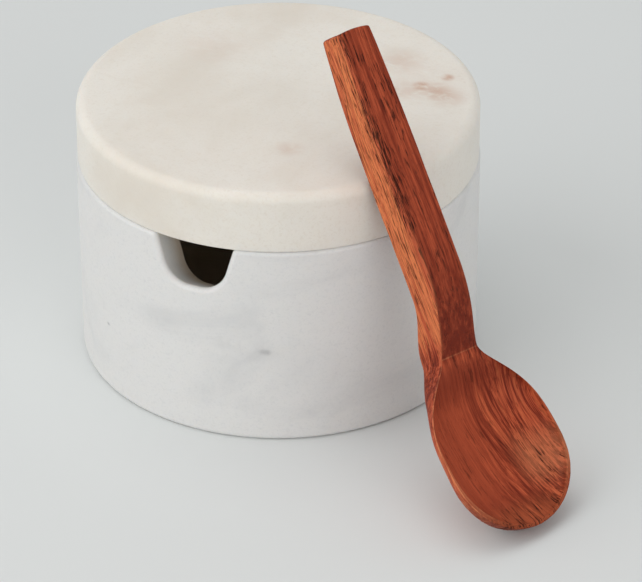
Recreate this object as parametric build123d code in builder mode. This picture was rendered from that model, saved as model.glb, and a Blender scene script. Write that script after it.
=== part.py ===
from build123d import *
import os
from math import acos, atan2, copysign, cos, hypot, pi, radians, sin, tan

# Salt cellar: a turned stone pot with a notch in its rim, a loose stone lid, and a carved wooden
# spoon that leans on the lid's edge with its bowl on the table.
# Millimetres, +Z up, origin at the centre of the pot's base, the notch facing -Y.

# Pot
pot_radius = 45.3
pot_height = 48.5
pot_wall = 10.5
pot_floor = 9.0
pot_rim_round = 1.0
pot_base_round = 1.2
well_round = 5.0

# Notch that lets the spoon's handle out when the spoon stands in the salt
notch_width = 17.6
notch_depth = 10.45
notch_slope = 29.0
notch_taper = 17.0
notch_corner = 6.4

# Lid
lid_inset = 0.3
lid_thickness = 14.0
lid_top_round = 2.4
lid_lower_round = 0.4
spigot_depth = 3.0
spigot_clearance = 0.8
spigot_round = 0.6

# Spoon handle
handle_length = 72.3
handle_width = 9.5
handle_thickness = 8.2
handle_end_width = 8.0
handle_end_thickness = 7.0
handle_end_bulge = 0.45
handle_end_round = 1.0
taper_length = 27.0
shoulder_length = 19.5
crank_length = 14.0

# Spoon bowl
bowl_length = 39.8
bowl_width = 31.7
bowl_widest = 15.35
bowl_overrun = 6.2
bowl_tip_level = 7.6
bowl_neck_level = 2.7
bowl_tip_wall = 4.6
bowl_heel_drop = 5.0
bowl_neck_depth = 7.5
bowl_lip = 0.8
bowl_neck_lip = 0.1
hollow_depth = 5.8
neck_squareness = 0.5
neck_length = 4.5
neck_fillet = 1.9
outline_fullness = 1.7
root_length = 12.0
root_rise = 2.2
root_cover = 0.3

# Where the spoon leans
spoon_azimuth = 60.0
spoon_reach = 85.5
spoon_side_shift = -3.4
spoon_twist = 6.4
rest_clearance = 0.25
table_clearance = 0.05

# How finely the carved forms are sampled, and how often the lean is refined
tip_angles = (4, 12, 24, 38, 54, 72)
neck_steps = 5
arc_steps = 8
lean_passes = 40

well_radius = pot_radius - pot_wall
spigot_radius = well_radius - spigot_clearance
lid_radius = pot_radius - lid_inset
lid_top = pot_height + lid_thickness


def outside(edge):
    """Whether an edge lies on the pot's outer wall."""
    point = edge @ 0.5
    return hypot(point.X, point.Y) > pot_radius - pot_wall / 2


def on_top(edge):
    """Whether an edge lies in the pot's rim."""
    return (edge @ 0.5).Z > pot_height - pot_rim_round / 2


# Pot: a thick cup turned from one block
with BuildPart() as pot:
    with BuildSketch(Plane.XY):
        Circle(pot_radius)
    extrude(amount=pot_height)
    with BuildSketch(Plane.XY.offset(pot_floor)):
        Circle(well_radius)
    extrude(amount=pot_height - pot_floor, mode=Mode.SUBTRACT)

    # The notch runs down and inward through the wall, narrower at its rounded bottom
    slope = radians(notch_slope)
    lean_in = tan(radians(notch_taper))
    notch_bottom = notch_depth * cos(slope)
    top_half = notch_width / 2 + notch_width * lean_in
    bottom_half = notch_width / 2 - notch_bottom * lean_in
    inward = Vector(0, cos(slope), -sin(slope))
    notch_plane = Plane(origin=(0, -pot_radius, pot_height), x_dir=(-1, 0, 0), z_dir=inward)
    with BuildSketch(notch_plane.offset(-notch_width / 2)) as notch:
        Polygon(
            (top_half, notch_width),
            (-top_half, notch_width),
            (-bottom_half, -notch_bottom),
            (bottom_half, -notch_bottom),
            align=None,
        )
        fillet(notch.vertices().group_by(Axis.Y)[0], radius=notch_corner)
    extrude(amount=notch_width + pot_wall, mode=Mode.SUBTRACT)

    # Softened edges of the rim, the notch, the base and the well's floor
    rim = pot.edges().filter_by(lambda e: e.center().Z > pot_height - notch_depth - pot_rim_round)
    fillet(rim.filter_by(lambda e: outside(e) or on_top(e)), radius=pot_rim_round)
    circles = pot.edges().filter_by(GeomType.CIRCLE)
    fillet(circles.group_by(Axis.Z)[0], radius=pot_base_round)
    circles = pot.edges().filter_by(GeomType.CIRCLE)
    fillet(circles.filter_by(lambda e: abs(e.center().Z - pot_floor) < pot_base_round), radius=well_round)

# Lid: a disc with a shallow step that drops into the well
with BuildPart() as lid:
    with BuildSketch(Plane.XY.offset(pot_height)):
        Circle(lid_radius)
    extrude(amount=lid_thickness)
    fillet(lid.edges().filter_by(GeomType.CIRCLE).group_by(Axis.Z)[-1], radius=lid_top_round)
    fillet(lid.edges().filter_by(GeomType.CIRCLE).group_by(Axis.Z)[0], radius=lid_lower_round)
    with BuildSketch(Plane.XY.offset(pot_height)):
        Circle(spigot_radius)
    extrude(amount=-spigot_depth)
    fillet(lid.edges().filter_by(GeomType.CIRCLE).group_by(Axis.Z)[0], radius=spigot_round)

# Lean of the spoon: its heel stands on the table and one back edge of the handle meets the lid's edge
half_width = handle_width / 2
spoon_length = bowl_length + handle_length
taper_start = spoon_length - taper_length
heel_level = bowl_tip_level - bowl_tip_wall
twist = radians(spoon_twist)
edge_radius = lid_radius - lid_top_round
edge_height = lid_top - lid_top_round
back_to_edge = half_width * sin(abs(twist)) + lid_top_round + rest_clearance + heel_level * cos(twist)
lean = atan2(edge_height, spoon_reach - edge_radius)
for _ in range(lean_passes):
    heel_height = hypot(bowl_widest * sin(lean), bowl_heel_drop * cos(lean)) + table_clearance
    across = spoon_reach - edge_radius
    rise = edge_height - heel_height
    lean = acos(-back_to_edge / hypot(across, rise)) - atan2(across, rise)

# Axes of the spoon: along the handle, out of its front face, and across it
azimuth = radians(spoon_azimuth)
outward = Vector(sin(azimuth), -cos(azimuth), 0)
sideways = Vector(cos(azimuth), sin(azimuth), 0)
upward = Vector(0, 0, 1)
along = outward * -cos(lean) + upward * sin(lean)
front = (outward * sin(lean) + upward * cos(lean)) * cos(twist) + sideways * sin(twist)
heel = outward * spoon_reach + sideways * spoon_side_shift + upward * heel_height
tip = heel - along * bowl_widest - front * heel_level
plan_plane = Plane(origin=tip, x_dir=along, z_dir=front)
side_plane = Plane(origin=tip, x_dir=along, z_dir=along.cross(front))


def blend(start, end, t):
    """Ease from start to end as t runs from 0 to 1."""
    return start + (end - start) * (1 - cos(pi * t)) / 2


def rim_level(s):
    """Height of the bowl's rim at distance s from the tip."""
    return blend(bowl_tip_level, bowl_neck_level, min(s / bowl_length, 1))


widest = bowl_width / 2
heel_bottom = heel_level - bowl_heel_drop
neck_bottom = bowl_neck_level - bowl_neck_depth
neck_end = bowl_length + neck_length


def half_outline(s):
    """Half width of the bowl past its widest place, a teardrop that flows into the handle's sides."""
    share = (s - bowl_widest) / (bowl_length + bowl_overrun - bowl_widest)
    teardrop = blend(widest, 0, share ** outline_fullness)
    root = half_width - root_cover
    return (teardrop + root + hypot(teardrop - root, neck_fillet)) / 2


def back_level(s):
    """Level of the handle's back where it bends down to the bowl."""
    return blend(0, neck_bottom, min((bowl_length + crank_length - s) / crank_length, 1))


def under_level(s):
    """Level of the bowl's underside past its heel."""
    if s > bowl_length:
        return back_level(s)
    return blend(heel_bottom, neck_bottom, (s - bowl_widest) / (bowl_length - bowl_widest))


# Bowl stations: distance from the tip, half width, level of the underside, share of the full hollow
# and roundness of the section, which turns squarer where the bowl runs into the handle
stations = []
for angle in tip_angles:
    turn = radians(angle)
    stations.append((
        bowl_widest * (1 - cos(turn)),
        widest * sin(turn),
        heel_level - bowl_heel_drop * sin(turn),
        sin(turn) ** 2,
        1,
    ))
for step in range(neck_steps + 1):
    t = step / neck_steps
    s = bowl_widest + (bowl_length - bowl_widest) * t
    stations.append((
        s,
        half_outline(s),
        under_level(s),
        blend(1, 0, t ** 2),
        1 - neck_squareness * t ** 3,
    ))


def section_plane(s):
    """Plane across the spoon at distance s from the tip, its y axis out of the front."""
    return Plane(origin=tip + along * s, x_dir=front.cross(along), z_dir=along)


def underside(half, top, bottom, roundness):
    """Points of the rounded underside of one station, from one rim to the other."""
    points = []
    for step in range(arc_steps + 1):
        turn = pi * step / arc_steps
        side = copysign(abs(cos(turn)) ** roundness, -cos(turn))
        points.append((half * side, top - (top - bottom) * max(sin(turn), 0) ** roundness))
    return points


# Spoon: carved from one piece of wood
with BuildPart() as spoon:
    with BuildSketch(side_plane):
        with BuildLine():
            rise_points = []
            for step in range(neck_steps + 1):
                t = step / neck_steps
                level = bowl_neck_level + (handle_thickness - bowl_neck_level) * sin(pi * t / 2)
                rise_points.append((bowl_length + shoulder_length * t, level))
            face = Spline(*rise_points)
            top = Line(face @ 1, (spoon_length, handle_thickness))
            end = Line(top @ 1, (spoon_length, handle_thickness - handle_end_thickness))
            thin = TangentArc((taper_start, 0), end @ 1, tangent=(1, 0))
            Line(thin @ 0, (bowl_length + crank_length, 0))
            crank_points = []
            for step in range(neck_steps + 1):
                t = step / neck_steps
                s = bowl_length + crank_length * (1 - t)
                crank_points.append((s, back_level(s) - root_cover * t))
            crank = Spline(*crank_points)
            root = Line(crank @ 1, (bowl_length - root_length, neck_bottom + root_rise))
            stop = Line(root @ 1, (bowl_length - root_length, bowl_neck_level))
            Line(stop @ 1, face @ 0)
        make_face()
    extrude(amount=half_width, both=True)
    with BuildSketch(plan_plane):
        with BuildLine():
            half_end = handle_end_width / 2
            shoulder = spoon_length - handle_end_bulge
            near = TangentArc((taper_start, half_width), (shoulder, half_end), tangent=(1, 0))
            far = TangentArc((taper_start, -half_width), (shoulder, -half_end), tangent=(1, 0))
            Polyline(
                near @ 0,
                (bowl_length - root_length, half_width),
                (bowl_length - root_length, -half_width),
                far @ 0,
            )
            ThreePointArc(near @ 1, (spoon_length, 0), far @ 1)
        make_face()
    extrude(amount=spoon_length, both=True, mode=Mode.INTERSECT)
    corners = spoon.edges().filter_by(Axis(tip, front))
    fillet(corners.sort_by(Axis(tip, along))[-2:], radius=handle_end_round)

    # Bowl, lofted from the tip to the end of the neck
    neck = (neck_end, half_outline(neck_end), under_level(neck_end), 0, 1 - neck_squareness)
    for s, half, bottom, share, roundness in stations + [neck]:
        with BuildSketch(section_plane(s)):
            with BuildLine():
                under = Spline(*underside(half, rim_level(s), bottom, roundness))
                Line(under @ 1, under @ 0)
            make_face()
    loft()

    # Hollow of the bowl
    reach = (bowl_length - bowl_lip) / bowl_length
    for s, half, bottom, share, roundness in stations[1:]:
        inner = bowl_lip + s * reach
        level = rim_level(inner)
        lip = blend(bowl_lip, bowl_neck_lip, s / bowl_length)
        depth = hollow_depth * share + bowl_neck_lip
        with BuildSketch(section_plane(inner)):
            with BuildLine():
                floor = Spline(*underside(half - lip, level, level - depth, 1))
                right = Line(floor @ 1, (half - lip, level + hollow_depth))
                over = Line(right @ 1, (lip - half, level + hollow_depth))
                Line(over @ 1, floor @ 0)
            make_face()
    loft(mode=Mode.SUBTRACT)

pot.part.label = "pot"
lid.part.label = "lid"
spoon.part.label = "spoon"

os.makedirs("parts", exist_ok=True)
export_step(pot.part, "parts/pot.step")
export_step(lid.part, "parts/lid.step")
export_step(spoon.part, "parts/spoon.step")
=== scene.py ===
import math

import bmesh
import bpy
from bpy.props import FloatProperty, FloatVectorProperty, IntProperty, PointerProperty
from mathutils import Matrix, Vector, noise


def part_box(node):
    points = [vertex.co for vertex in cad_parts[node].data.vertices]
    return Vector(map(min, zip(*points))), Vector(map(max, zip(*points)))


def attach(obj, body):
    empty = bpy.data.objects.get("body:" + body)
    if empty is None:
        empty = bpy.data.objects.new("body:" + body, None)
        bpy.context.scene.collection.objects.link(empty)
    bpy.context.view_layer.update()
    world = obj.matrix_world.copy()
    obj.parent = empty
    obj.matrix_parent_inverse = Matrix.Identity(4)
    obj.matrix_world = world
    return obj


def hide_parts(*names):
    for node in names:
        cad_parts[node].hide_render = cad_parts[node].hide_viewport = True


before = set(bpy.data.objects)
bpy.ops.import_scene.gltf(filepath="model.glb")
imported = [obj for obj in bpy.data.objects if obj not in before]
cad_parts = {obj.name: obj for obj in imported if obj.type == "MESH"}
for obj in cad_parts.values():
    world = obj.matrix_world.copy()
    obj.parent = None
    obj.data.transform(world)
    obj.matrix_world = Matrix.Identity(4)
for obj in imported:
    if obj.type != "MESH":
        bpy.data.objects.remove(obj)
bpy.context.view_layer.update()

bl_info = {
    "name": "Salt cellar",
    "version": (1, 0, 0),
    "blender": (4, 5, 0),
    "location": "3D View > Sidebar > Salt cellar",
    "description": "Dresses a stone salt pot, its lid and its carved wooden spoon",
    "category": "Object",
}

MM = 0.001
LID_LOW, LID_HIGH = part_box("lid")
POT_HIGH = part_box("pot")[1]
LID_TOP_ROUND = 2.4 * MM
QUARTER_TURN = math.pi / 2

# Carved form of the spoon that no one would change by itself
HANDLE_WIDTH = 9.5 * MM
BOWL_WIDEST = 15.35 * MM
BOWL_OVERRUN = 6.2 * MM
BOWL_TIP_LEVEL = 7.6 * MM
BOWL_TIP_WALL = 4.6 * MM
BOWL_HEEL_DROP = 5.0 * MM
HEEL_LEVEL = BOWL_TIP_LEVEL - BOWL_TIP_WALL
NECK_LEVEL = 2.7 * MM
NECK_DEPTH = 7.5 * MM
NECK_FILLET = 1.9 * MM
NECK_LIP = 0.12 * MM
FRONT_INSET = 1.0 * MM
FRONT_INSET_LENGTH = 2.0 * MM
SHOULDER_LENGTH = 19.5 * MM
CRANK_LENGTH = 14.0 * MM
TAPER_LENGTH = 27.0 * MM
END_BULGE = 0.45 * MM
OUTLINE_FULLNESS = 1.7
TIP_BLUNTNESS = 0.5
SQUARE_START = 0.65
SQUARE_SPAN = 0.45

# How the spoon leans on the lid and stands on the table
SPOON_REACH = 85.5 * MM
SPOON_SIDE_SHIFT = -3.4 * MM
SPOON_AZIMUTH = math.radians(60.0)
SPOON_TWIST = math.radians(6.4)
REST_CLEARANCE = 0.25 * MM
TABLE_CLEARANCE = 0.05 * MM
LEAN_PASSES = 40

# Grain of the stones, in repeats per metre
CRYSTALS = 900.0
SPECKS = 1900.0
TOOTH = 2600.0
# Depth of the surface's relief
STONE_RELIEF = 0.2 * MM
WOOD_RELIEF = 0.3 * MM
# Warm tint painted in the well as light coming through the stone: where it starts, in from the outer face,
# under the rim and over the base
WELL_IN = 0.13
WELL_UNDER_RIM = (0.1 * MM, 0.7 * MM)
WELL_OVER_BASE = (1.0 * MM, 3.0 * MM)
WELL_SHARE = 0.55
# How much lower than wide the dark marks of the pot are
MARK_FLATNESS = 1.7
# Dark marks of the pot: place and reach in millimetres, and strength
POT_MARKS = (
    (15.9, -42.4, 23.2, 2.0, 0.6),
    (14.5, -42.9, 23.0, 6.0, 0.25),
    (7.7, -44.6, 24.5, 5.0, 0.2),
    (-8.4, -44.5, 27.0, 8.0, 0.14),
    (-24.6, -38.0, 17.5, 1.0, 0.7),
    (-31.0, 33.0, 30.0, 9.0, 0.3),
    (38.0, 24.0, 14.0, 7.0, 0.3),
)
# Stains on top of the lid: place and reach in millimetres, and strength
LID_STAINS = (
    (12.3, -21.6, 4.5, 0.35),
    (31.8, 21.8, 2.2, 0.9),
    (27.7, 15.9, 2.6, 0.7),
    (31.0, 14.8, 6.0, 0.5),
    (35.5, 13.4, 6.0, 0.45),
    (24.5, 12.0, 7.0, 0.3),
    (19.1, 24.8, 8.0, 0.35),
    (28.0, 20.0, 15.0, 0.12),
    (-22.0, 14.0, 12.0, 0.15),
)

# Grain in the bowl: where its slant starts, in millimetres from the tip, the slant, and how flat it is cut
GRAIN_PIVOT = 39.0
GRAIN_SLANT = 0.13
GRAIN_FLATNESS = 0.85
# Middling tones that calmer wood keeps to, on the handle's front and in the bowl
FRONT_TONE = 0.47
BOWL_TONE = 0.455

# Stage, in metres unless named otherwise
IMAGE_WIDTH = 642
SENSOR_WIDTH = 36.0
CAMERA_PLACE = (0.28354, -0.61926, 0.44109)
CAMERA_ELEVATION = math.radians(32.31)
CAMERA_AZIMUTH = math.radians(23.8)
FLOOR_HALF = 3.0
FLOOR_SHADE = (0.7, 0.7, 0.7)
FLOOR_SHADE_SHARE = 0.12
HAZE_REACH = 1.4
HAZE_START = 0.25
HAZE_FULL = 0.95
LAMP_AIM = Vector((0.0, 0.0, 0.03))
LAMPS = (
    ("key", (-0.69, -0.75, 0.73), 1.4),
    ("fill", (0.9, -0.7, 0.45), 0.9),
    ("top", (-0.2, 0.05, 1.3), 0.9),
)


def leaning_spoon():
    """Tip, lengthwise axis and front axis of the spoon, leaning on the lid with its heel on the table."""
    edge_radius = LID_HIGH.x - LID_TOP_ROUND
    edge_height = LID_HIGH.z - LID_TOP_ROUND
    across = SPOON_REACH - edge_radius
    apart = HANDLE_WIDTH / 2 * math.sin(abs(SPOON_TWIST)) + LID_TOP_ROUND + REST_CLEARANCE
    apart += HEEL_LEVEL * math.cos(SPOON_TWIST)
    lean = math.atan2(edge_height, across)
    for _ in range(LEAN_PASSES):
        heel_drop = math.hypot(BOWL_WIDEST * math.sin(lean), BOWL_HEEL_DROP * math.cos(lean))
        heel_height = heel_drop + TABLE_CLEARANCE
        rise = edge_height - heel_height
        lean = math.acos(-apart / math.hypot(across, rise)) - math.atan2(across, rise)
    outward = Vector((math.sin(SPOON_AZIMUTH), -math.cos(SPOON_AZIMUTH), 0.0))
    sideways = Vector((math.cos(SPOON_AZIMUTH), math.sin(SPOON_AZIMUTH), 0.0))
    upward = Vector((0.0, 0.0, 1.0))
    along = upward * math.sin(lean) - outward * math.cos(lean)
    front = (outward * math.sin(lean) + upward * math.cos(lean)) * math.cos(SPOON_TWIST)
    front += sideways * math.sin(SPOON_TWIST)
    heel = outward * SPOON_REACH + sideways * SPOON_SIDE_SHIFT + upward * heel_height
    return heel - along * BOWL_WIDEST - front * HEEL_LEVEL, along, front


SPOON_TIP, SPOON_ALONG, SPOON_FRONT = leaning_spoon()
SPOON_ACROSS = SPOON_FRONT.cross(SPOON_ALONG)


def srgb(red, green, blue):
    """A colour given as it shows on a screen, 0 to 255, as Blender's linear values."""
    values = []
    for part in (red, green, blue):
        part = part / 255
        values.append(part / 12.92 if part <= 0.04045 else ((part + 0.055) / 1.055) ** 2.4)
    return tuple(values)


def length(name, description, default):
    """A size in metres."""
    return FloatProperty(
        name=name, description=description, default=default, min=0, unit="LENGTH", precision=5
    )


def power(name, description, default):
    """The power of a lamp."""
    return FloatProperty(name=name, description=description, default=default, min=0, unit="POWER")


def colour(name, description, red, green, blue):
    """A colour that a user may change."""
    shade = srgb(red, green, blue)
    return FloatVectorProperty(
        name=name, description=description, default=shade, size=3, min=0, max=1, subtype="COLOR"
    )


class SaltLidSizes(bpy.types.PropertyGroup):
    radius: length("Radius", "Outer radius of the lid", LID_HIGH.x)
    thickness: length("Thickness", "Height of the lid above the pot's rim", LID_HIGH.z - POT_HIGH.z)
    step_depth: length("Step depth", "How far the step drops into the well", POT_HIGH.z - LID_LOW.z)
    step_radius: length("Step radius", "Radius of the step that fits the well", 34.0 * MM)
    top_round: length("Top round", "Rounding of the upper edge", LID_TOP_ROUND)
    lower_round: length("Lower round", "Rounding of the lower edge", 0.4 * MM)
    step_round: length("Step round", "Rounding of the step's edge", 0.6 * MM)
    segments: IntProperty(
        name="Segments", description="Faces round the lid", default=224, min=32, max=512, subtype="UNSIGNED"
    )


class SaltSpoonSizes(bpy.types.PropertyGroup):
    handle_length: length("Handle length", "From the neck to the handle's end", 72.3 * MM)
    handle_width: length("Handle width", "Width of the handle's front", HANDLE_WIDTH)
    handle_thickness: length("Handle thickness", "Thickness of the handle", 8.2 * MM)
    end_width: length("End width", "Width of the handle at its end", 8.0 * MM)
    end_thickness: length("End thickness", "Thickness of the handle at its end", 7.0 * MM)
    bowl_length: length("Bowl length", "From the tip to the neck", 39.8 * MM)
    bowl_width: length("Bowl width", "Width of the bowl at its widest", 31.7 * MM)
    bowl_lip: length("Bowl lip", "Width of the flat rim of the bowl", 0.8 * MM)
    hollow_depth: length("Hollow depth", "Depth of the bowl", 5.8 * MM)
    edge_round: length("Edge round", "Wear of the handle's edges", 0.28 * MM)
    lip_round: length("Lip round", "Wear of the rim's edges", 0.22 * MM)
    unevenness: length("Unevenness", "How far the knife strayed from a true face", 0.11 * MM)


class SaltColours(bpy.types.PropertyGroup):
    pot_white: colour("Pot white", "Body colour of the pot's stone", 230, 229, 227)
    pot_cloud: colour("Pot cloud", "Faint grey clouds in the pot", 212, 212, 212)
    # Painted light: a warm tint inside the well standing for light that comes through the stone
    pot_well_glow: colour("Pot honed", "Unpolished stone of the well", 232, 204, 166)
    pot_smudge: colour("Pot smudge", "Small dark marks in the pot", 168, 168, 168)
    lid_ivory: colour("Lid ivory", "Body colour of the lid's stone", 239, 234, 225)
    lid_cloud: colour("Lid cloud", "Beige clouds in the lid", 226, 217, 204)
    lid_rust: colour("Lid rust", "Tan and pink stains in the lid", 202, 160, 135)
    wood_light: colour("Wood light", "Pale bands of the wood", 228, 130, 80)
    wood_middle: colour("Wood middle", "Body colour of the wood", 193, 88, 56)
    wood_dark: colour("Wood dark", "Dark bands of the wood", 117, 40, 22)
    wood_pore: colour("Wood pores", "Open pores along the grain", 54, 19, 10)
    # Pale wear on the edges, also used for painted sheen in the bowl and painted highlights on lit edges
    wood_wear_and_sheen: colour("Wood wear", "Edges rubbed pale", 214, 138, 96)
    floor: colour("Floor", "Plain pale floor", 226, 229, 228)
    haze: colour("Haze", "What the floor fades to far behind", 214, 217, 216)


class SaltStage(bpy.types.PropertyGroup):
    key_power: power("Key light", "Power of the soft light", 6.0)
    fill_power: power("Fill light", "Power of the weak light", 2.4)
    top_power: power("Top light", "Power of the light above", 2.6)
    sky: FloatProperty(
        name="Sky", description="Even light from all round", default=0.5, min=0, max=2, subtype="FACTOR"
    )
    focal_pixels: FloatProperty(
        name="Focal length", description="In pixels of the image", default=3500.0, min=100, subtype="PIXEL"
    )


class Wire:
    """A socket of a node tree, on which sums can be written."""

    def __init__(self, tree, socket=None):
        self.tree = tree
        self.socket = socket

    def add(self, kind, settings=None, inputs=None, output=0):
        """A new node of any kind, with its settings made first, then its inputs."""
        node = self.tree.nodes.new(kind)
        for key, value in (settings or {}).items():
            if key == "items":
                while len(node.index_switch_items) < value:
                    node.index_switch_items.new()
            else:
                setattr(node, key, value)
        for key, value in (inputs or {}).items():
            if isinstance(value, Wire):
                self.tree.links.new(value.socket, node.inputs[key])
            else:
                node.inputs[key].default_value = value
        return Wire(self.tree, node.outputs[output] if node.outputs else None)

    def math(self, operation, first, second):
        return self.add("ShaderNodeMath", {"operation": operation}, {0: first, 1: second})

    def __add__(self, other):
        return self.math("ADD", self, other)

    def __radd__(self, other):
        return self.math("ADD", other, self)

    def __sub__(self, other):
        return self.math("SUBTRACT", self, other)

    def __rsub__(self, other):
        return self.math("SUBTRACT", other, self)

    def __mul__(self, other):
        return self.math("MULTIPLY", self, other)

    def __rmul__(self, other):
        return self.math("MULTIPLY", other, self)

    def ramp(self, low, high):
        """0 below low and 1 above high, eased between them. High may be the lower of the two."""
        return self.add(
            "ShaderNodeMapRange",
            {"interpolation_type": "SMOOTHSTEP", "clamp": True},
            {"Value": self, "From Min": low, "From Max": high, "To Min": 0.0, "To Max": 1.0},
        )

    def stretch(self, x, y, z):
        """A vector with each part multiplied."""
        return self.add("ShaderNodeVectorMath", {"operation": "MULTIPLY"}, {0: self, 1: (x, y, z)})

    def shift(self, other):
        """The sum of two vectors."""
        return self.add("ShaderNodeVectorMath", {"operation": "ADD"}, {0: self, 1: other})

    def grains(self, scale, detail=4.0, roughness=0.55, distortion=0.0, output="Fac"):
        """Noise read at this vector."""
        inputs = {"Vector": self, "Scale": scale, "Detail": detail}
        inputs.update({"Roughness": roughness, "Distortion": distortion})
        return self.add("ShaderNodeTexNoise", {"noise_dimensions": "3D"}, inputs, output)

    def part(self, axis):
        """One part of a vector: X, Y or Z."""
        return self.add("ShaderNodeSeparateXYZ", None, {0: self}, axis)

    def near(self, place, reach):
        """1 at a place, easing to 0 at the given distance."""
        away = self.add("ShaderNodeVectorMath", {"operation": "DISTANCE"}, {0: self, 1: place}, "Value")
        return away.ramp(reach, 0.0)

    def tint(self, first, second):
        """A mix of two colours by this factor."""
        first, second = (shade if isinstance(shade, Wire) else (*shade, 1.0) for shade in (first, second))
        settings = {"data_type": "RGBA", "clamp_factor": True}
        return self.add("ShaderNodeMix", settings, {0: self, 6: first, 7: second}, 2)

    def place(self):
        """Where a point lies on its object."""
        return self.add("ShaderNodeTexCoord", None, None, "Object")

    def attribute(self, name):
        """A value that the mesh holds at each point."""
        return self.add("ShaderNodeAttribute", {"attribute_name": name}, None, "Fac")

    def bump(self, height, strength, distance):
        """A bumped normal from a height."""
        inputs = {"Height": height, "Strength": strength, "Distance": distance}
        return self.add("ShaderNodeBump", None, inputs, "Normal")

    def seen(self):
        """1 for what the camera sees, straight or in a glossy or clear surface, and 0 for light."""
        camera, glossy, clear = (
            self.add("ShaderNodeLightPath", None, None, f"Is {kind} Ray")
            for kind in ("Camera", "Glossy", "Transmission")
        )
        return (camera + glossy + clear).ramp(0.0, 1.0)


def new_material(name):
    """A material without nodes, and the first wire of its tree."""
    material = bpy.data.materials.new(name)
    material.use_nodes = True
    material.node_tree.nodes.clear()
    return material, Wire(material.node_tree)


def stone_grain(place):
    """Crystals, finer specks and the height of a honed stone."""
    crystals = place.grains(CRYSTALS, 3.0, 0.6)
    specks = place.grains(SPECKS, 2.0, 0.6)
    height = crystals * 0.6 + place.grains(TOOTH, 2.0) * 0.4
    return crystals, specks, height


def finish_stone(wire, body, rough, normal):
    """Make the surface honed marble, which light enters a little way, red furthest."""
    shader = wire.add(
        "ShaderNodeBsdfPrincipled",
        None,
        {
            "Base Color": body,
            "Roughness": rough,
            "Normal": normal,
            "Specular IOR Level": 0.45,
            "Subsurface Weight": 0.3,
            "Subsurface Radius": (1.0, 0.85, 0.7),
            "Subsurface Scale": 2.5 * MM,
        },
    )
    wire.add("ShaderNodeOutputMaterial", None, {"Surface": shader})


def pot_stone(colours):
    """Cool white marble with faint grey clouds and a few dark marks."""
    material, wire = new_material("pot_marble")
    place = wire.place()
    crystals, specks, height = stone_grain(place)
    clouds = place.stretch(1.0, 1.0, 1.6).grains(34.0, 5.0, 0.6, 0.8)
    wisps = place.stretch(0.7, 1.0, 2.2).grains(60.0, 6.0, 0.65, 1.6)
    body = (clouds.ramp(0.45, 0.8) * 0.7).tint(colours.pot_white, colours.pot_cloud)
    body = (wisps.ramp(0.56, 0.85) * 0.3).tint(body, colours.pot_cloud)

    flattened = place.stretch(1.0, 1.0, MARK_FLATNESS)
    marks = 0.0
    for x, y, z, reach, strength in POT_MARKS:
        marks = flattened.near((x * MM, y * MM, MARK_FLATNESS * z * MM), reach * MM) * strength + marks
    body = (marks * place.grains(260.0, 4.0, 0.6).ramp(0.2, 0.65)).tint(body, colours.pot_smudge)
    body = (crystals.ramp(0.5, 0.8) * 0.35 + specks.ramp(0.5, 0.75) * 0.35).tint(body, colours.pot_cloud)

    # The well, painted warm as if lit through the stone: in from the outer face, below the rim and above the
    # base
    level = place.part("Z")
    well = place.stretch(1.0, 1.0, 0.0).near((0.0, 0.0, 0.0), POT_HIGH.x).ramp(0.0, WELL_IN)
    well = well * level.ramp(*(POT_HIGH.z - down for down in WELL_UNDER_RIM))
    well = well * level.ramp(*WELL_OVER_BASE)
    body = (well * WELL_SHARE).tint(body, colours.pot_well_glow)
    rough = 0.36 + clouds * 0.16 + crystals * 0.08
    finish_stone(wire, body, rough, wire.bump(height, 0.12, STONE_RELIEF))
    return material


def lid_stone(colours):
    """Warm ivory marble with beige clouds and tan stains towards one edge."""
    material, wire = new_material("lid_marble")
    place = wire.place()
    crystals, specks, height = stone_grain(place)
    clouds = place.stretch(1.0, 0.7, 1.0).grains(34.0, 4.0, 0.55, 0.3)
    wisps = place.stretch(0.6, 1.2, 1.0).grains(90.0, 5.0, 0.6, 0.8)
    body = (clouds.ramp(0.4, 0.7) * 0.75).tint(colours.lid_ivory, colours.lid_cloud)
    body = (wisps.ramp(0.55, 0.8) * 0.35).tint(body, colours.lid_cloud)

    stains = 0.0
    for x, y, reach, strength in LID_STAINS:
        stains = place.near((x * MM, y * MM, LID_HIGH.z), reach * MM) * strength + stains
    veins = place.stretch(1.0, 1.6, 1.0).grains(190.0, 5.0, 0.6, 1.0).ramp(0.2, 0.6)
    body = (stains * veins).tint(body, colours.lid_rust)
    body = (crystals.ramp(0.5, 0.8) * 0.4 + specks.ramp(0.5, 0.75) * 0.4).tint(body, colours.lid_cloud)
    rough = 0.34 + clouds * 0.16 + crystals * 0.08
    finish_stone(wire, body, rough, wire.bump(height, 0.1, STONE_RELIEF))
    return material


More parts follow.
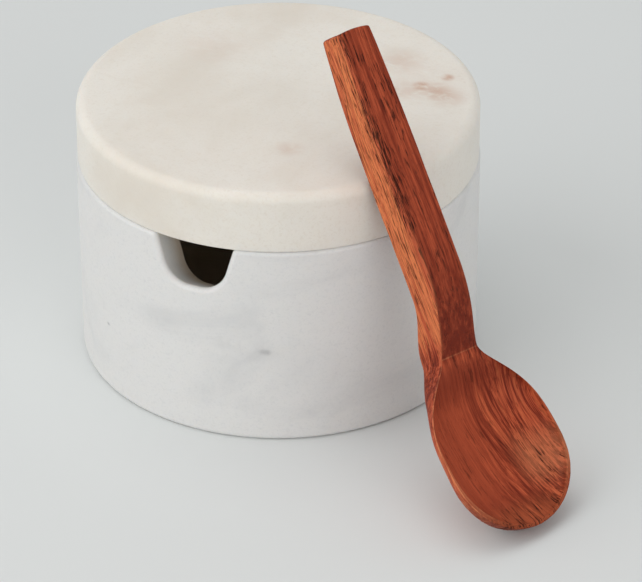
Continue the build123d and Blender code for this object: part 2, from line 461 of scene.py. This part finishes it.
def spoon_wood(colours):
    """Oiled red-brown hardwood: bands, fibres and open pores that run along the spoon."""
    material, wire = new_material("spoon_hardwood")
    turn = Matrix((SPOON_ALONG, SPOON_ACROSS, SPOON_FRONT)).transposed().to_euler()
    local = wire.add(
        "ShaderNodeMapping",
        {"vector_type": "TEXTURE"},
        {"Vector": wire.place(), "Location": SPOON_TIP, "Rotation": turn, "Scale": (MM, MM, MM)},
    )
    end_grain = wire.attribute("end_grain")
    # Painted light: sides that face left, towards the key light, are coloured lighter and get fewer pores
    lit_side = wire.attribute("side_grain")
    worn = wire.attribute("worn")
    inside = wire.attribute("inside")

    # Zones of the spoon, in millimetres from its tip, to the left of its middle and out from its back
    along, across, out = (local.part(axis) for axis in "XYZ")
    bowl = along.ramp(44.0, 34.0)
    right = bowl * across.ramp(-3.0, -9.0)
    calm = bowl * lit_side.ramp(0.45, 0.1) * (0.1 + across.ramp(-4.0, 5.0) * 0.9)
    sheen = right * along.ramp(22.0, 13.0) * along.ramp(5.0, 11.0)
    tip = along.ramp(8.0, 2.0)
    cheek = lit_side.ramp(0.2, 0.6) * along.ramp(46.0, 39.0) * along.ramp(20.0, 30.0)
    neck = along.ramp(70.0, 44.0) * along.ramp(38.0, 40.5) * lit_side.ramp(0.5, 0.1)
    upper = along.ramp(58.0, 72.0)
    front = out.ramp(6.4, 7.6)
    ridge = across.ramp(2.2, 4.2) * front
    seam = across.ramp(3.0, 4.0) * out.ramp(5.6, 7.0) * upper
    heart = across.ramp(-0.5, 0.8) * across.ramp(3.8, 2.6) * front * along.ramp(64.0, 84.0)

    # The bowl is cut almost flat through the grain, which runs a little aslant there
    flat = along.ramp(46.0, 32.0) * inside
    aslant = across - (along - GRAIN_PIVOT) * flat * GRAIN_SLANT
    level = out - (out - NECK_LEVEL / MM) * flat * GRAIN_FLATNESS
    cut = wire.add("ShaderNodeCombineXYZ", None, {0: along, 1: aslant, 2: level})
    sway = cut.stretch(0.02, 0.06, 0.06).grains(1.0, 2.0, 0.5, 0.0, "Color")
    grain = cut.shift(sway.stretch(0.0, 5.0, 5.0))

    # Layers of the figure, each with its repeats in a millimetre along, across and out
    bands = grain.stretch(0.012, 0.3, 0.4).grains(1.0, 4.0, 0.6, 0.3)
    streaks = grain.stretch(0.035, 1.3, 1.3).grains(1.0, 5.0, 0.65)
    lines = grain.stretch(0.05, 2.4, 2.4).grains(1.0, 3.0, 0.7)
    fibres = grain.stretch(0.09, 4.5, 4.5).grains(1.0, 3.0, 0.6)
    vessels = grain.stretch(0.25, 2.6, 2.6).grains(1.0, 2.0, 0.5)
    dashes = grain.stretch(0.5, 5.0, 5.0).grains(1.0, 2.0, 0.5)
    patches = grain.stretch(0.06, 0.6, 0.6).grains(1.0, 3.0, 0.55)
    strokes = local.stretch(0.22, 1.9, 0.0).grains(1.0, 3.0, 0.6)

    # Painted light lightens the left-facing sides
    tone = bands * 0.35 + streaks * 0.55 + lit_side * 0.12
    tone = tone + (FRONT_TONE - tone) * (front * 0.45 + neck * 0.3)
    tone = tone - heart * 0.035 - ridge * 0.03 - neck * 0.06
    # Painted shade: the last millimetres towards the tip are darkened, as that part faces away from the
    # light
    tone = tone + (BOWL_TONE - tone) * calm * 0.85 - along.ramp(14.0, 3.0) * 0.03
    # Part of the painted light on the left side is taken back near the neck
    tone = tone + (lines - 0.5) * right * 0.8 - cheek * 0.13
    body = tone.ramp(0.37, 0.51).tint(colours.wood_dark, colours.wood_middle)
    body = (tone.ramp(0.48, 0.63) * (1.0 - right * 0.55)).tint(body, colours.wood_light)
    body = (fibres.ramp(0.46, 0.68) * (0.55 - calm * 0.3)).tint(body, colours.wood_dark)
    # Painted light: the tip is lightened, as its rim catches the light
    body = (tip * 0.2).tint(body, colours.wood_light)
    # Painted sheen on the lower right wall of the bowl
    body = (sheen * 0.34).tint(body, colours.wood_wear_and_sheen)
    body = (end_grain.ramp(0.1, 0.5) * 0.6).tint(body, colours.wood_dark)

    pores = vessels.ramp(0.54, 0.61) * (patches + ridge * 0.2 - bowl * 0.08).ramp(0.4, 0.56)
    pores = (pores + dashes.ramp(0.58, 0.68) * 0.5) * (1.0 - bowl * 0.45 + right * 0.4) * (1.0 - lit_side * 0.2)
    pores = pores + strokes.ramp(0.5, 0.58) * patches.ramp(0.38, 0.5) * across.ramp(-10.0, -6.0) * tip * 0.9
    pores = pores * (1.0 - neck * 0.5) + dashes.ramp(0.44, 0.54) * patches.ramp(0.36, 0.5) * seam * 0.75
    body = (pores * 0.85).tint(body, colours.wood_pore)
    # Edges rubbed pale: real wear, with painted light where it is stronger on the left edges that face the
    # key light and along the neck's crease
    rubbed = worn * along.ramp(2.0, 9.0) * (0.35 + across.ramp(0.0, 8.0) * 0.65) * (1.0 - upper * 0.7)
    body = (rubbed * (0.3 + streaks.ramp(0.35, 0.6) * 0.4)).tint(body, colours.wood_wear_and_sheen)

    shader = wire.add(
        "ShaderNodeBsdfPrincipled",
        None,
        {
            "Base Color": body,
            "Roughness": 0.42 + fibres * 0.16 + pores * 0.2,
            "Normal": wire.bump(fibres * 0.5 + streaks * 0.3 - pores, 0.35, WOOD_RELIEF),
            "Specular IOR Level": 0.12,
        },
    )
    wire.add("ShaderNodeOutputMaterial", None, {"Surface": shader})
    return material


def add_object(name, data):
    """A new object at the origin in the scene."""
    piece = bpy.data.objects.new(name, data)
    bpy.context.scene.collection.objects.link(piece)
    return piece


def lid_tree():
    """A node tree that turns the lid's profile round the Z axis."""
    fillet_steps = 9
    merge_distance = 0.002 * MM
    sharp_angle = math.radians(40)
    flat_share = 0.9
    tree = bpy.data.node_groups.new("turned_lid", "GeometryNodeTree")
    tree.is_modifier = True
    face = tree.interface
    face.new_socket("Geometry", in_out="INPUT", socket_type="NodeSocketGeometry")
    sizes = ("Radius", "Thickness", "Seat", "Step depth", "Step radius")
    sizes = (*sizes, "Top round", "Lower round", "Step round")
    for name in sizes:
        face.new_socket(name, in_out="INPUT", socket_type="NodeSocketFloat")
    face.new_socket("Segments", in_out="INPUT", socket_type="NodeSocketInt")
    face.new_socket("Material", in_out="INPUT", socket_type="NodeSocketMaterial")
    face.new_socket("Geometry", in_out="OUTPUT", socket_type="NodeSocketGeometry")

    wire = Wire(tree)
    given = {name: wire.add("NodeGroupInput", None, None, name) for name in (*sizes, "Segments", "Material")}
    radius, seat, step = given["Radius"], given["Seat"], given["Step radius"]
    top = seat + given["Thickness"]
    low = seat - given["Step depth"]
    profile = (
        (0.0, low, 0.0),
        (step, low, given["Step round"]),
        (step, seat, 0.0),
        (radius, seat, given["Lower round"]),
        (radius, top, given["Top round"]),
        (radius * flat_share, top, 0.0),
        (0.0, top, 0.0),
    )
    # The profile runs along a circle of half the radius, and its levels come out turned over
    middle = radius * 0.5
    places, rounds = {}, {}
    for item, (away, level, fillet) in enumerate(profile, 1):
        places[item] = wire.add("ShaderNodeCombineXYZ", None, {0: away - middle, 1: level * -1.0, 2: 0.0})
        rounds[item] = fillet
    index = wire.add("GeometryNodeInputIndex")
    items = len(profile)
    switch = "GeometryNodeIndexSwitch"
    places = wire.add(switch, {"data_type": "VECTOR", "items": items}, {0: index, **places})
    rounds = wire.add(switch, {"data_type": "FLOAT", "items": items}, {0: index, **rounds})
    line = wire.add("GeometryNodeCurvePrimitiveLine")
    line = wire.add("GeometryNodeResampleCurve", None, {"Curve": line, "Count": items})
    line = wire.add("GeometryNodeSetPosition", None, {"Geometry": line, "Position": places})
    fillets = {"Curve": line, "Radius": rounds, "Count": fillet_steps}
    line = wire.add("GeometryNodeFilletCurve", {"mode": "POLY"}, fillets)
    path = wire.add(
        "GeometryNodeCurvePrimitiveCircle", None, {"Resolution": given["Segments"], "Radius": middle}
    )
    skin = wire.add("GeometryNodeCurveToMesh", None, {"Curve": path, "Profile Curve": line})
    skin = wire.add("GeometryNodeFlipFaces", None, {"Mesh": skin})
    skin = wire.add("GeometryNodeMergeByDistance", None, {"Geometry": skin, "Distance": merge_distance})
    angle = wire.add("GeometryNodeInputMeshEdgeAngle")
    sharp = wire.add("FunctionNodeCompare", {"operation": "GREATER_THAN"}, {0: angle, 1: sharp_angle})
    skin = wire.add("GeometryNodeSetShadeSmooth", None, {"Geometry": skin, "Shade Smooth": True})
    skin = wire.add(
        "GeometryNodeSetShadeSmooth",
        {"domain": "EDGE"},
        {"Geometry": skin, "Selection": sharp, "Shade Smooth": False},
    )
    skin = wire.add("GeometryNodeRealizeInstances", None, {"Geometry": skin})
    skin = wire.add("GeometryNodeSetMaterial", None, {"Geometry": skin, "Material": given["Material"]})
    wire.add("NodeGroupOutput", None, {"Geometry": skin})
    return tree


def grown(name, tree, values):
    """An object whose mesh is what a node tree makes from the given values."""
    seed = add_object(name + "_seed", bpy.data.meshes.new(name + "_seed"))
    modifier = seed.modifiers.new(name, "NODES")
    modifier.node_group = tree
    for socket in tree.interface.items_tree:
        if socket.in_out == "INPUT" and socket.name in values:
            modifier[socket.identifier] = values[socket.name]
    evaluated = seed.evaluated_get(bpy.context.evaluated_depsgraph_get())
    mesh = bpy.data.meshes.new_from_object(evaluated)
    bpy.data.objects.remove(seed)
    if not mesh.polygons:
        raise RuntimeError(name + " came out empty")
    mesh.name = name
    return add_object(name, mesh)


class SALT_OT_pot(bpy.types.Operator):
    """Give the pot its marble"""

    bl_idname = "saltcellar.pot"
    bl_label = "Pot"

    def execute(self, context):
        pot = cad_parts["pot"]
        pot.data.materials.clear()
        pot.data.materials.append(pot_stone(context.scene.salt_colours))
        return {"FINISHED"}


class SALT_OT_lid(bpy.types.Operator):
    """Turn the lid and give it its marble"""

    bl_idname = "saltcellar.lid"
    bl_label = "Lid"

    def execute(self, context):
        sizes = context.scene.salt_lid
        values = {
            "Radius": sizes.radius,
            "Thickness": sizes.thickness,
            "Seat": POT_HIGH.z,
            "Step depth": sizes.step_depth,
            "Step radius": sizes.step_radius,
            "Top round": sizes.top_round,
            "Lower round": sizes.lower_round,
            "Step round": sizes.step_round,
            "Segments": sizes.segments,
            "Material": lid_stone(context.scene.salt_colours),
        }
        lid = grown("lid_turned", lid_tree(), values)
        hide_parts("lid")
        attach(lid, "lid")
        return {"FINISHED"}


def ease(start, end, t):
    """From start to end as t runs from 0 to 1, slow at both ends."""
    t = min(max(t, 0.0), 1.0)
    return start + (end - start) * (1 - math.cos(math.pi * t)) / 2


class SpoonForm:
    """The spoon's outline, levels and sections at any distance from its tip."""

    # Steps across the hollow, down the outside and round a worn corner
    hollow_steps = 14
    under_steps = 20
    arc_steps = 4
    # Rings of the skin, those near the tip by their angle in degrees
    tip_degrees = (0, 3, 6, 10, 15, 21, 28, 36, 45, 55, 65, 75, 83)
    bowl_rings = 26
    shoulder_rings = 24
    shoulder_reach = 1.1
    handle_rings = 34
    end_rings = 5
    crease_gap = 0.25 * MM
    end_gap = 0.6 * MM
    # Rounding and pull of the handle's end
    end_round = 0.45 * MM
    end_pull = 3.0 * MM
    # Wear of the edges, and the knife's unevenness
    wear_swing = 0.5
    wear_wave = 7.0 * MM
    wear_row = 3.1
    back_wear = 1.3
    corner_share = 0.45
    lip_wear = (0.5, 0.7)
    rim_wear = (0.3, 0.2)
    handle_fade = 0.65
    back_edge_wear = 0.35
    crease_width = 0.01 * MM
    stray_length = 11.0 * MM
    stray_width = 6.0 * MM
    stray_start = 6.0 * MM
    # How much less end grain shows on what faces the handle's end than on what faces the tip
    end_facing = 0.3
    # Doubles and slivers that are cleared from the skin
    double_distance = 0.002 * MM
    sliver_distance = 0.001 * MM

    def __init__(self, sizes):
        self.sizes = sizes
        self.neck = sizes.bowl_length
        self.total = sizes.bowl_length + sizes.handle_length
        self.widest = sizes.bowl_width / 2
        self.half_handle = sizes.handle_width / 2
        self.heel_bottom = HEEL_LEVEL - BOWL_HEEL_DROP
        self.neck_bottom = NECK_LEVEL - NECK_DEPTH
        self.reach = (sizes.bowl_length - sizes.bowl_lip) / sizes.bowl_length

    def turn(self, s):
        """Angle round the tip's ellipse at distance s."""
        return math.acos(min(max(1 - s / BOWL_WIDEST, -1.0), 1.0))

    def taper(self, s):
        """How far the handle has narrowed to its end."""
        return max(0.0, (s - self.total + TAPER_LENGTH) / TAPER_LENGTH) ** 2

    def half(self, s):
        """Half width of the outline."""
        if s < BOWL_WIDEST:
            return self.widest * math.sin(self.turn(s))
        share = min(1.0, (s - BOWL_WIDEST) / (self.neck + BOWL_OVERRUN - BOWL_WIDEST))
        teardrop = ease(self.widest, 0, share ** OUTLINE_FULLNESS)
        bar = self.half_handle
        flowing = (teardrop + bar + math.hypot(teardrop - bar, NECK_FILLET)) / 2
        straight = bar - (bar - self.sizes.end_width / 2) * self.taper(s)
        return ease(flowing, straight, (s - self.neck - BOWL_OVERRUN / 2) / SHOULDER_LENGTH)

    def under(self, s):
        """Level of the underside and the handle's back."""
        if s < BOWL_WIDEST:
            return HEEL_LEVEL - BOWL_HEEL_DROP * math.sin(self.turn(s))
        if s < self.neck:
            return ease(self.heel_bottom, self.neck_bottom, (s - BOWL_WIDEST) / (self.neck - BOWL_WIDEST))
        thinned = (self.sizes.handle_thickness - self.sizes.end_thickness) * self.taper(s)
        return ease(0, self.neck_bottom, (self.neck + CRANK_LENGTH - s) / CRANK_LENGTH) + thinned

    def top(self, s):
        """Level of the rim and the handle's front."""
        if s < self.neck:
            return ease(BOWL_TIP_LEVEL, NECK_LEVEL, s / self.neck)
        rise = math.sin(QUARTER_TURN * min(1.0, (s - self.neck) / SHOULDER_LENGTH))
        return NECK_LEVEL + (self.sizes.handle_thickness - NECK_LEVEL) * rise

    def hollow(self, s):
        """Half width and depth of the hollow, or of the plain front on the handle."""
        if s >= self.neck:
            inset = ease(0, FRONT_INSET, (s - self.neck) / FRONT_INSET_LENGTH)
            return self.half(s) - NECK_LIP - inset, 0.0
        inner = (s - self.sizes.bowl_lip) / self.reach
        if inner <= 0:
            return 0.0, 0.0
        lip = ease(self.sizes.bowl_lip, NECK_LIP, inner / self.neck)
        if inner < BOWL_WIDEST:
            share = math.sin(self.turn(inner)) ** 2
        else:
            share = ease(1, 0, ((inner - BOWL_WIDEST) / (self.neck - BOWL_WIDEST)) ** 2)
        return max(0.0, self.half(inner) - lip), self.sizes.hollow_depth * share

    def squareness(self, s):
        """0 where the section is round below, 1 where it is the handle's bar."""
        return ease(0, 1, (s - SQUARE_START * self.neck) / (SQUARE_SPAN * self.neck))

    def rounded(self, before, corner, after, radius):
        """Points of a worn corner between two straight runs."""
        ends = []
        for run in (before - corner, after - corner):
            back = min(radius, run.length * self.corner_share)
            ends.append(corner + run.normalized() * back if run.length else corner)
        first, last = ends
        points = []
        for step in range(self.arc_steps + 1):
            t = step / self.arc_steps
            points.append(first * (1 - t) ** 2 + corner * 2 * t * (1 - t) + last * t ** 2)
        return points

    def outside(self, s, half, top, under, back_round):
        """Points down the outside, from the rim to the back's middle, and the steps that turn its corner."""
        square = self.squareness(s)
        blunt = 2 / (2 + TIP_BLUNTNESS * max(0.0, 1 - s / BOWL_WIDEST))
        sides = self.under_steps * 2 // 5
        arc = self.under_steps - 2 * sides
        points = []
        for step in range(self.under_steps + 1):
            angle = QUARTER_TURN * step / self.under_steps
            oval = Vector((half * math.cos(angle) ** blunt, top - (top - under) * math.sin(angle) ** blunt))
            if step <= sides:
                bar = Vector((half, top - (top - under - back_round) * step / sides))
            elif step < sides + arc:
                angle = QUARTER_TURN * (step - sides) / arc
                in_by, up_by = back_round * (1 - math.cos(angle)), back_round * (1 - math.sin(angle))
                bar = Vector((half - in_by, under + up_by))
            else:
                bar = Vector(((half - back_round) * (self.under_steps - step) / sides, under))
            points.append(oval.lerp(bar, square))
        return points, range(sides, sides + arc + 1)

    def section(self, s, inset=0.0):
        """Half of the section, from front to back: its points, their wear and 1 for those within the rim."""
        half, top, under = self.half(s) - inset, self.top(s) - inset, self.under(s) + inset
        inner, depth = self.hollow(s)
        inner = max(0.0, min(inner - inset, half))
        wear = 1 + self.wear_swing * noise.noise(Vector((s / self.wear_wave, self.wear_row, 0.0)))
        square = self.squareness(s)
        edge = self.sizes.lip_round + (self.sizes.edge_round - self.sizes.lip_round) * square
        edge = edge * wear

        front = []
        for step in range(self.hollow_steps + 1):
            angle = QUARTER_TURN * (1 - step / self.hollow_steps)
            front.append(Vector((inner * math.cos(angle), top - depth * math.sin(angle))))
        below, corner = self.outside(s, half, top, under, self.sizes.edge_round * self.back_wear * wear)
        lip = self.rounded(front[-2], front[-1], below[0], edge)
        rim = self.rounded(front[-1], below[0], below[1], edge)
        points = front[:-1] + lip + rim + below[1:]

        # Wear is strongest in the middle of each worn corner; the crease of the neck gets full wear, which
        # paints a highlight along its ridge
        crease = 1.0 if abs(s - self.neck) < self.crease_width else 0.0
        worn = [crease] * (len(front) - 1)
        start, end = (share * (1 - square) for share in self.lip_wear)
        worn += [start] + [1 - square] * (len(lip) - 2) + [end]
        start, end = self.rim_wear
        worn += [start] + [1 - self.handle_fade * square] * (len(rim) - 2) + [end]
        back = self.back_edge_wear * square
        worn += [back if step in corner else 0.0 for step in range(1, self.under_steps + 1)]
        inside = [1.0] * (len(front) - 1 + len(lip)) + [0.0] * (len(rim) + self.under_steps)
        return points, worn, inside

    def rings(self):
        """Distances from the tip, close together where the form turns, and how far each ring is drawn in."""
        found = set()
        for degrees in self.tip_degrees:
            away = BOWL_WIDEST * (1 - math.cos(math.radians(degrees)))
            found.add(away)
            found.add(self.sizes.bowl_lip + away * self.reach)
        found.update((self.neck - self.crease_gap, self.neck + self.crease_gap))
        shoulder = self.neck + SHOULDER_LENGTH * self.shoulder_reach
        for start, stop, count in (
            (BOWL_WIDEST, self.neck, self.bowl_rings),
            (self.neck, shoulder, self.shoulder_rings),
            (shoulder, self.total - self.end_gap, self.handle_rings),
        ):
            found.update(start + (stop - start) * step / count for step in range(1, count + 1))
        found.add(BOWL_WIDEST)
        rings = [(s, 0.0) for s in sorted(found)]
        for step in range(1, self.end_rings + 1):
            angle = QUARTER_TURN * step / self.end_rings
            back, inset = self.end_round * (1 - math.sin(angle)), self.end_round * (1 - math.cos(angle))
            rings.append((self.total - back, inset))
        return rings

    def carved(self, s, point):
        """Place of a section's point at distance s, with the knife's unevenness and the end's bulge."""
        pull = ease(0, 1, (s - self.total + self.end_pull) / self.end_pull)
        bulge = END_BULGE * (point.x / self.half_handle) ** 2 * pull
        wave = Vector((s / self.stray_length, point.x / self.stray_width, point.y / self.stray_width))
        stray = noise.noise(wave) * self.sizes.unevenness * min(1.0, s / self.stray_start)
        middle = (self.top(s) + self.under(s)) / 2
        spot = point + Vector((point.x, point.y - middle)).normalized() * stray
        return SPOON_TIP + SPOON_ALONG * (s - bulge) + SPOON_ACROSS * spot.x + SPOON_FRONT * spot.y

    def mesh(self):
        """The spoon's closed skin, with its wear, a painted highlight on the neck's crease, the run of its
        end grain and a painted light on its left-facing sides as attributes.
        """
        form = bmesh.new()
        layers = form.verts.layers.float
        names = ("worn", "inside", "end_grain", "side_grain")
        for name in names:
            layers.new(name)
        worn, inside, ends, sides = (layers[name] for name in names)
        loops = []
        for s, inset in self.rings():
            right = list(zip(*self.section(s, inset)))
            left = [(Vector((-point.x, point.y)), *rest) for point, *rest in reversed(right[1:-1])]
            loop = []
            for point, rubbed, hollowed in right + left:
                vert = form.verts.new(self.carved(s, point))
                vert[worn] = rubbed
                vert[inside] = hollowed
                loop.append(vert)
            loops.append(loop)
        for first, second in zip(loops, loops[1:]):
            for here in range(len(first)):
                after = (here + 1) % len(first)
                form.faces.new((first[here], first[after], second[after], second[here]))
        last = loops[-1]
        pole = form.verts.new(sum((vert.co for vert in last), Vector()) / len(last))
        for here in range(len(last)):
            form.faces.new((last[here], last[(here + 1) % len(last)], pole))
        bmesh.ops.remove_doubles(form, verts=form.verts, dist=self.double_distance)
        bmesh.ops.dissolve_degenerate(form, edges=form.edges, dist=self.sliver_distance)
        bmesh.ops.recalc_face_normals(form, faces=form.faces)
        form.normal_update()
        for vert in form.verts:
            facing = vert.normal.dot(SPOON_ALONG)
            vert[ends] = max(-facing, self.end_facing * facing)
            # Painted light: points on the left whose faces turn towards the key light get a value that
            # lightens the wood
            on_left = (vert.co - SPOON_TIP).dot(SPOON_ACROSS) > 0
            vert[sides] = max(0.0, vert.normal.dot(SPOON_ACROSS)) if on_left else 0.0
        mesh = bpy.data.meshes.new("spoon_carved")
        form.to_mesh(mesh)
        form.free()
        mesh.polygons.foreach_set("use_smooth", [True] * len(mesh.polygons))
        return mesh


class SALT_OT_spoon(bpy.types.Operator):
    """Carve the spoon and give it its wood"""

    bl_idname = "saltcellar.spoon"
    bl_label = "Spoon"

    def execute(self, context):
        spoon = add_object("spoon_carved", SpoonForm(context.scene.salt_spoon).mesh())
        spoon.data.materials.append(spoon_wood(context.scene.salt_colours))
        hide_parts("spoon")
        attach(spoon, "spoon")
        return {"FINISHED"}


def pale_floor(colours):
    """A plain pale floor that fades to haze far away."""
    material, wire = new_material("floor_pale")
    place = wire.place()
    tone = place.grains(3.0, 2.0).ramp(0.3, 0.7) * FLOOR_SHADE_SHARE
    body = tone.tint(colours.floor, FLOOR_SHADE)
    floor = wire.add("ShaderNodeBsdfPrincipled", None, {"Base Color": body, "Roughness": 0.8})
    haze = wire.add("ShaderNodeEmission", None, {"Color": (*colours.haze, 1.0), "Strength": 1.0})
    far = 1.0 - place.near((0.0, 0.0, 0.0), HAZE_REACH)
    hazy = far.ramp(HAZE_START, HAZE_FULL) * wire.seen()
    shown = wire.add("ShaderNodeMixShader", None, {0: hazy, 1: floor, 2: haze})
    wire.add("ShaderNodeOutputMaterial", None, {"Surface": shown})
    return material


class SALT_OT_stage(bpy.types.Operator):
    """Set the floor, the lights and the camera"""

    bl_idname = "saltcellar.stage"
    bl_label = "Stage"

    def execute(self, context):
        scene = context.scene
        stage = scene.salt_stage
        scene.view_settings.view_transform = "Standard"

        mesh = bpy.data.meshes.new("floor")
        corners = [(x * FLOOR_HALF, y * FLOOR_HALF, 0.0) for x, y in ((-1, -1), (1, -1), (1, 1), (-1, 1))]
        mesh.from_pydata(corners, [], [(0, 1, 2, 3)])
        mesh.materials.append(pale_floor(scene.salt_colours))
        floor = add_object("floor", mesh)

        world = bpy.data.worlds.new("studio")
        world.use_nodes = True
        world.node_tree.nodes.clear()
        wire = Wire(world.node_tree)
        sky = wire.seen().tint((stage.sky,) * 3, scene.salt_colours.haze)
        background = wire.add("ShaderNodeBackground", None, {"Color": sky, "Strength": 1.0})
        wire.add("ShaderNodeOutputWorld", None, {"Surface": background})
        scene.world = world

        for name, place, width in LAMPS:
            data = bpy.data.lights.new(name, "AREA")
            data.shape = "DISK"
            data.size = width
            data.energy = getattr(stage, name + "_power")
            lamp = add_object(name, data)
            lamp.location = place
            lamp.rotation_euler = (LAMP_AIM - Vector(place)).to_track_quat("-Z", "Y").to_euler()

        data = bpy.data.cameras.new("camera")
        data.sensor_width = SENSOR_WIDTH
        data.lens = stage.focal_pixels / IMAGE_WIDTH * data.sensor_width
        camera = add_object("camera", data)
        camera.location = CAMERA_PLACE
        camera.rotation_euler = (QUARTER_TURN - CAMERA_ELEVATION, 0.0, CAMERA_AZIMUTH)
        scene.camera = camera
        return {"FINISHED"}


class SALT_PT_panel(bpy.types.Panel):
    """Sizes, colours and steps of the salt cellar"""

    bl_idname = "SALT_PT_panel"
    bl_label = "Salt cellar"
    bl_space_type = "VIEW_3D"
    bl_region_type = "UI"
    bl_category = "Salt cellar"

    def draw(self, context):
        layout = self.layout
        for operator in OPERATORS:
            layout.operator(operator.bl_idname)
        for group in GROUPS:
            box = layout.box()
            values = getattr(context.scene, group)
            for key in values.bl_rna.properties.keys():
                if key not in ("rna_type", "name"):
                    box.prop(values, key)


GROUPS = {
    "salt_lid": SaltLidSizes,
    "salt_spoon": SaltSpoonSizes,
    "salt_colours": SaltColours,
    "salt_stage": SaltStage,
}
OPERATORS = (SALT_OT_pot, SALT_OT_lid, SALT_OT_spoon, SALT_OT_stage)


def register():
    for group, kind in GROUPS.items():
        bpy.utils.register_class(kind)
        setattr(bpy.types.Scene, group, PointerProperty(type=kind))
    for kind in OPERATORS:
        bpy.utils.register_class(kind)
    bpy.utils.register_class(SALT_PT_panel)


def unregister():
    bpy.utils.unregister_class(SALT_PT_panel)
    for kind in reversed(OPERATORS):
        bpy.utils.unregister_class(kind)
    for group, kind in GROUPS.items():
        delattr(bpy.types.Scene, group)
        bpy.utils.unregister_class(kind)


def main():
    register()
    bpy.ops.saltcellar.pot()
    bpy.ops.saltcellar.lid()
    bpy.ops.saltcellar.spoon()
    bpy.ops.saltcellar.stage()


if __name__ == "__main__":
    main()
